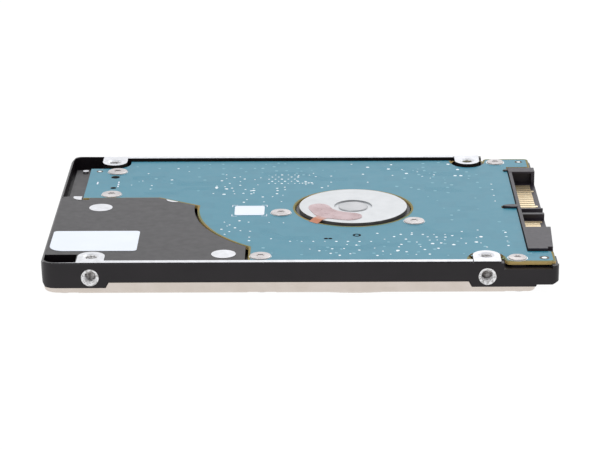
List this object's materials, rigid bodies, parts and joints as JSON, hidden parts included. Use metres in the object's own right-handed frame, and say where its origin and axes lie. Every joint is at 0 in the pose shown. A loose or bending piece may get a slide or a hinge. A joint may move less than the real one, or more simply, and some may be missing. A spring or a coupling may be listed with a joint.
{
  "type": "hard disk drive",
  "caption": "Flat 2.5-inch hard disk drive: cast base, stamped cover, exposed circuit board, edge connector and, inside, a spinning platter with a swinging head arm.",
  "frame": {"origin": "middle of the footprint at the lowest face, the label on the cover", "axes": "+X out of the connector end, +Y across the drive, +Z from the cover towards the circuit board"},
  "size_m": [0.1002, 0.0698, 0.007],
  "materials": {
    "black_ecoat": "satin black electro-coat on die-cast aluminium, bare metal on machined faces",
    "cover_steel": "plated stamped sheet, satin",
    "gasket_rubber": "matt black",
    "screw_steel": "nickel-plated steel",
    "label_paper": "blank white label film",
    "blue_board": "blue solder mask over fibreglass",
    "chip_plastic": "moulded black epoxy",
    "capacitor": "ceramic parts with tinned ends",
    "foam": "thin dark foam",
    "black_plastic": "glass-filled black plastic, fine texture",
    "gold_contact": "gold-plated copper alloy",
    "machined_aluminium": "fine turned finish",
    "spindle_steel": "ground stainless steel",
    "copper_wire": "enamelled copper winding",
    "flex_film": "translucent polyimide over copper",
    "magnet": "nickel-plated magnet",
    "platter_mirror": "polished coated glass",
    "plated_steel": "nickel-plated stamped steel",
    "ceramic_head": "dark polished ceramic",
    "ramp_plastic": "natural low-friction plastic",
    "filter_felt": "white fibre pad"
  },
  "bodies": {
    "chassis": {"base_casting": "black_ecoat", "top_cover": "cover_steel", "cover_gasket": "gasket_rubber", "cover_screws": "screw_steel", "product_label": "label_paper", "serial_label": "label_paper", "circuit_board": "blue_board", "board_screws": "screw_steel", "board_label": "label_paper", "controller_chip": "chip_plastic", "motor_driver_chip": "chip_plastic", "memory_chip": "chip_plastic", "board_capacitors": "capacitor", "insulator_sheet": "foam", "sata_connector": "black_plastic", "power_contacts": "gold_contact", "signal_contacts": "gold_contact", "motor_base": "machined_aluminium", "bearing_cap": "spindle_steel", "bearing_sleeve": "spindle_steel", "stator_core": "spindle_steel", "stator_coils": "copper_wire", "motor_flex": "flex_film", "pivot_shaft": "spindle_steel", "lower_yoke": "plated_steel", "upper_yoke": "plated_steel", "lower_magnet": "magnet", "upper_magnet": "magnet", "yoke_posts": "plated_steel", "crash_stops": "gasket_rubber", "latch_pin": "spindle_steel", "ramp": "ramp_plastic", "ramp_screw": "screw_steel", "flex_cable": "flex_film", "flex_bracket": "plated_steel", "head_connector": "black_plastic", "breather_filter": "filter_felt", "recirculation_filter": "filter_felt"},
    "spindle_rotor": {"spindle_shaft": "spindle_steel", "spindle_hub": "machined_aluminium", "rotor_magnet": "magnet", "platter": "platter_mirror", "disc_clamp": "machined_aluminium", "clamp_screws": "screw_steel"},
    "actuator": {"pivot_bearings": "spindle_steel", "pivot_sleeve": "spindle_steel", "actuator_arm": "machined_aluminium", "coil_frame": "black_plastic", "voice_coil": "copper_wire", "lower_suspension": "spindle_steel", "upper_suspension": "spindle_steel", "lower_slider": "ceramic_head", "upper_slider": "ceramic_head", "preamp_chip": "chip_plastic"},
    "latch": {"latch_lever": "black_plastic"}
  },
  "joints": [
    {"name": "spindle_spin", "type": "hinge", "parent": "chassis", "child": "spindle_rotor", "pos_m": [0.0108, 0, 0.0023], "axis": [0, 0, 1], "continuous": true},
    {"name": "actuator_swing", "type": "hinge", "parent": "chassis", "child": "actuator", "pos_m": [-0.027, -0.008, 0.0023], "axis": [0, 0, 1], "range_deg": [-36, 0], "deforming": ["flex_cable"]},
    {"name": "latch_swing", "type": "hinge", "parent": "chassis", "child": "latch", "pos_m": [-0.0215, -0.0266, 0.0028], "axis": [0, 0, 1], "range_deg": [-5, 4]}
  ]
}
